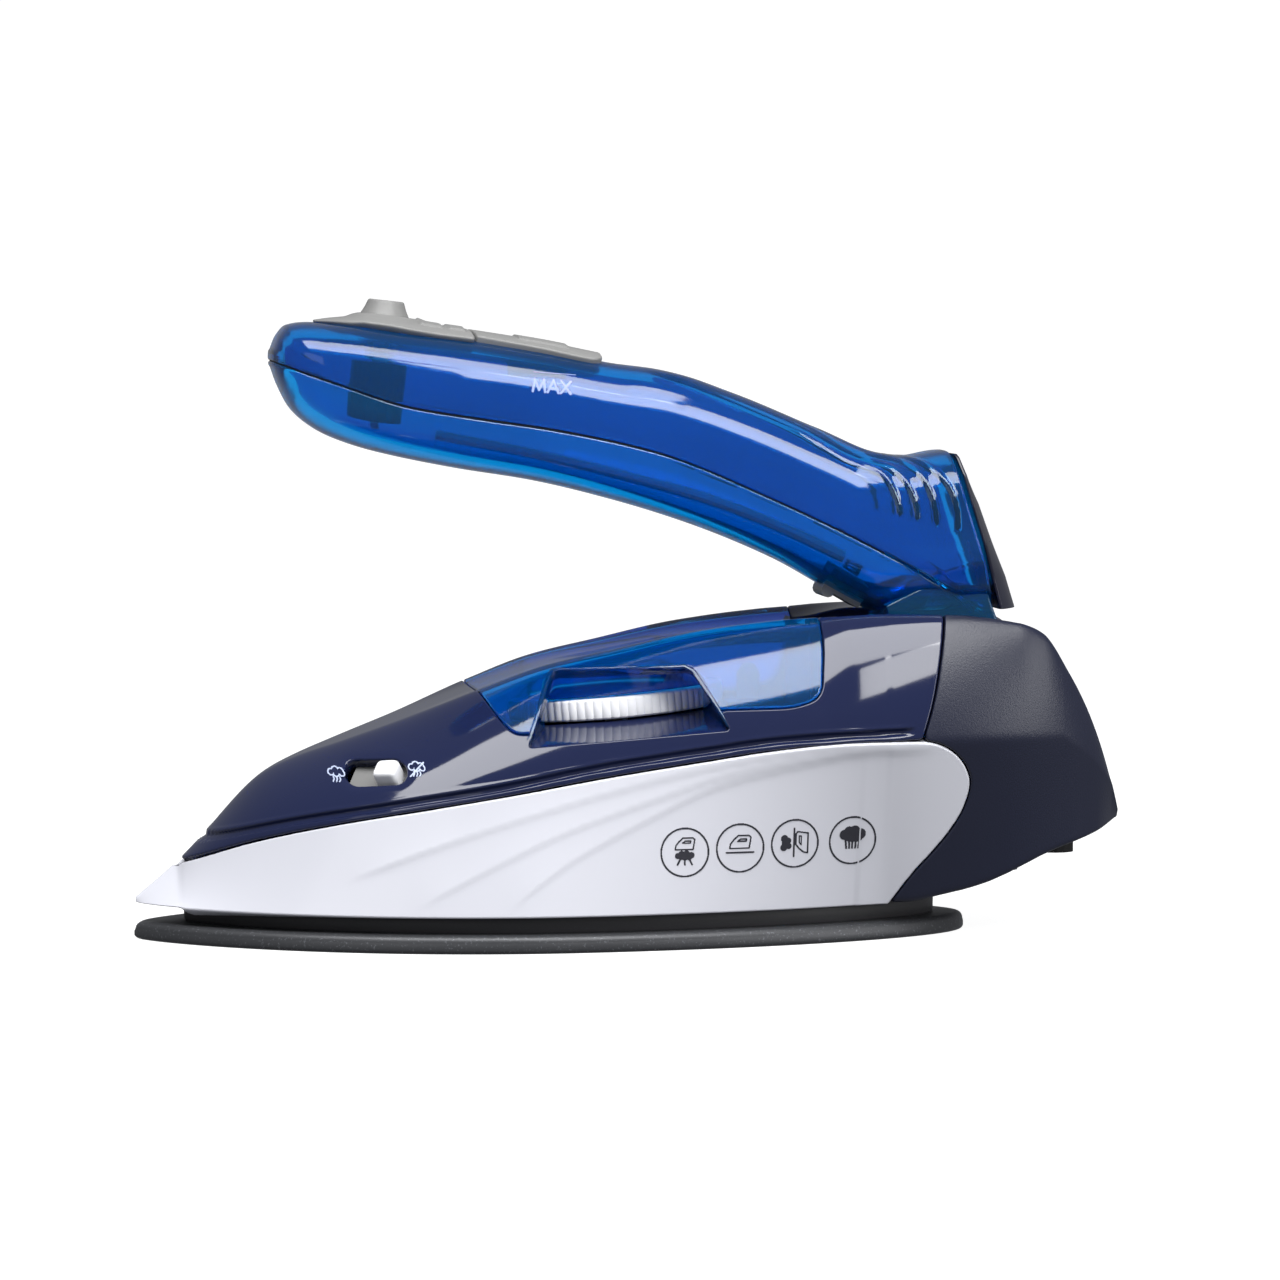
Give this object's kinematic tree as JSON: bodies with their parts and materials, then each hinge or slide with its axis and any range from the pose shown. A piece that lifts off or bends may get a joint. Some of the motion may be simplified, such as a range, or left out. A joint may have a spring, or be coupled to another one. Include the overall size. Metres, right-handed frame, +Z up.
{
  "type": "clothes iron",
  "caption": "Travel steam iron with a folding water-tank handle, thermostat dial, steam slide, steam button and hinged filler cap.",
  "frame": {"origin": "middle of the bounding box, on the plane of the ironing face", "axes": "-X towards the nose, +X towards the heel, +Z up, the steam slide on the -Y side"},
  "size_m": [0.2018, 0.0788, 0.13],
  "materials": {
    "sole_metal": "satin non-stick coat",
    "dark_plastic": "moulded, matt",
    "aluminium": "as cast",
    "steel": "plain",
    "brass": "machined",
    "silicone": "moulded",
    "white_gloss": "gloss",
    "navy_gloss": "high gloss",
    "navy_matt": "fine matt grain",
    "clear_blue": "clear tinted gloss",
    "grey_plastic": "fine matt grain",
    "natural_plastic": "moulded",
    "black_rubber": "moulded",
    "lamp_red": "clear gloss"
  },
  "bodies": {
    "base": {"soleplate": "sole_metal", "heat_shield": "dark_plastic", "steam_casting": "aluminium", "chamber_gasket": "silicone", "chamber_cover": "aluminium", "heating_element": "steel", "side_skirt": "white_gloss", "upper_housing": "navy_gloss", "top_window": "clear_blue", "rear_housing": "navy_matt", "handle_well": "dark_plastic", "pivot_pin": "steel", "hinge_bush_left": "dark_plastic", "hinge_bush_right": "dark_plastic", "thermostat": "steel", "thermostat_bracket": "steel", "drip_valve": "brass", "water_hose": "natural_plastic", "thermal_fuse": "natural_plastic", "terminal_block": "natural_plastic", "pilot_lamp": "lamp_red", "lamp_holder": "dark_plastic", "inlet_gland": "black_rubber", "cover_screw_1": "steel", "cover_screw_2": "steel", "cover_screw_3": "steel", "cover_screw_4": "steel", "rear_screw_1": "steel", "rear_screw_2": "steel"},
    "dial": {"thermostat_dial": "white_gloss", "thermostat_shaft": "natural_plastic"},
    "slider": {"steam_slider": "white_gloss"},
    "handle": {"tank_upper_shell": "clear_blue", "tank_lower_shell": "clear_blue", "tank_seal": "black_rubber", "handle_rear_plate": "dark_plastic", "control_bezel": "grey_plastic", "pump_body": "dark_plastic", "pump_spring": "steel", "suction_tube": "natural_plastic", "delivery_tube": "natural_plastic", "latch_spring": "steel"},
    "button": {"steam_button": "grey_plastic", "pump_piston": "natural_plastic"},
    "cap": {"fill_cap": "grey_plastic"},
    "latch": {"release_latch": "grey_plastic"}
  },
  "joints": [
    {"name": "handle_fold", "type": "hinge", "parent": "base", "child": "handle", "pos_m": [0.0638, 0, 0.0604], "axis": [0, -1, 0], "range_deg": [0, 20]},
    {"name": "thermostat_dial_turn", "type": "hinge", "parent": "base", "child": "dial", "pos_m": [-0.0024, 0, 0.0479], "axis": [-0.0872, 0, 0.9962], "range_deg": [0, 270]},
    {"name": "steam_slider_slide", "type": "slide", "parent": "base", "child": "slider", "axis": [-0.8453, 0.5309, -0.0592], "range_m": [0, 0.0052]},
    {"name": "steam_button_press", "type": "slide", "parent": "handle", "child": "button", "axis": [-0.1132, 0, -0.9936], "range_m": [0, 0.0028], "stiffness_N_per_m": 400, "deforming": ["pump_spring"]},
    {"name": "fill_cap_open", "type": "hinge", "parent": "handle", "child": "cap", "pos_m": [-0.0313, 0, 0.124], "axis": [0, -1, 0], "range_deg": [0, 90]},
    {"name": "release_latch_press", "type": "slide", "parent": "handle", "child": "latch", "axis": [0.5, 0, 0.866], "range_m": [0, 0.0025], "stiffness_N_per_m": 300, "deforming": ["latch_spring"]}
  ]
}
